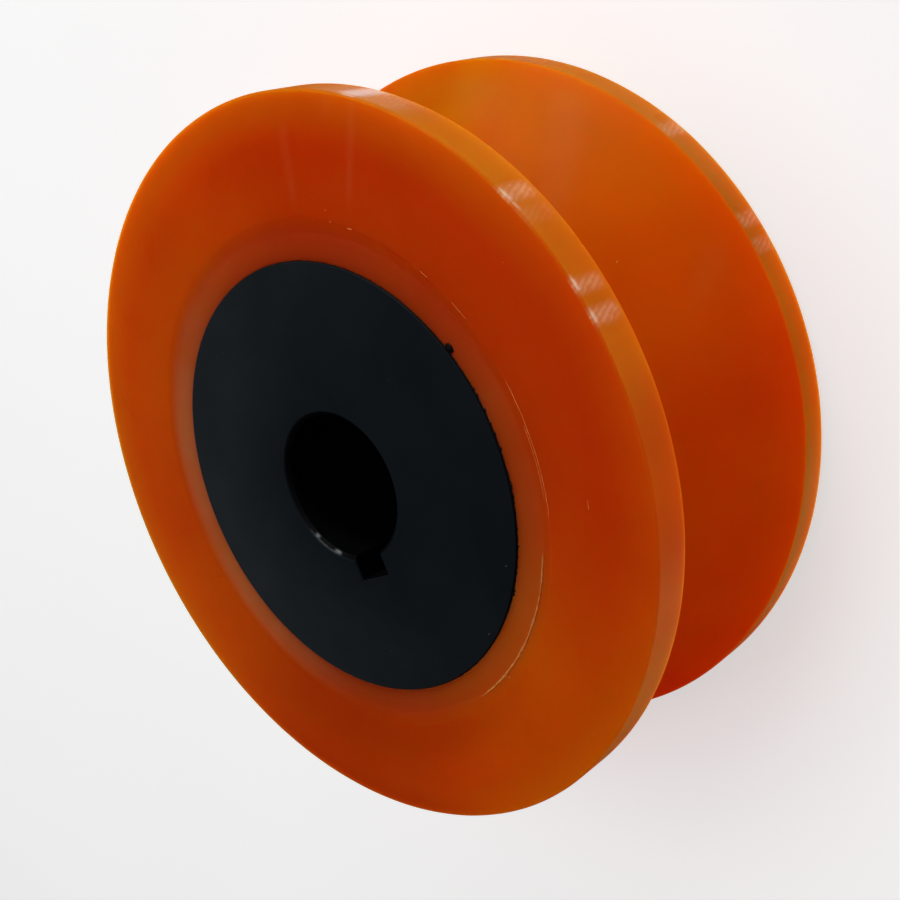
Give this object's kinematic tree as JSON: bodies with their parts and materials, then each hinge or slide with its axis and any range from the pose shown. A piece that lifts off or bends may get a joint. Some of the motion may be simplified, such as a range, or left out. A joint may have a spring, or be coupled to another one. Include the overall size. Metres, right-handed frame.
{
  "type": "polyurethane roller",
  "caption": "V-groove roller: a steel hub with a keyed bore, and an orange polyurethane tyre cast round it between two rims.",
  "frame": {"origin": "on the bore axis, at the plane of the rear end face", "axes": "+Z along the bore axis from the rear face to the front face; -Y towards the keyway; +X completes the right-handed frame"},
  "size_m": [0.15, 0.15, 0.06],
  "materials": {
    "hub_steel": "matte black coated steel, turned faces",
    "polyurethane": "satin translucent orange cast polyurethane"
  },
  "bodies": {
    "root": {"hub": "hub_steel", "polyurethane_tyre": "polyurethane"}
  },
  "joints": []
}
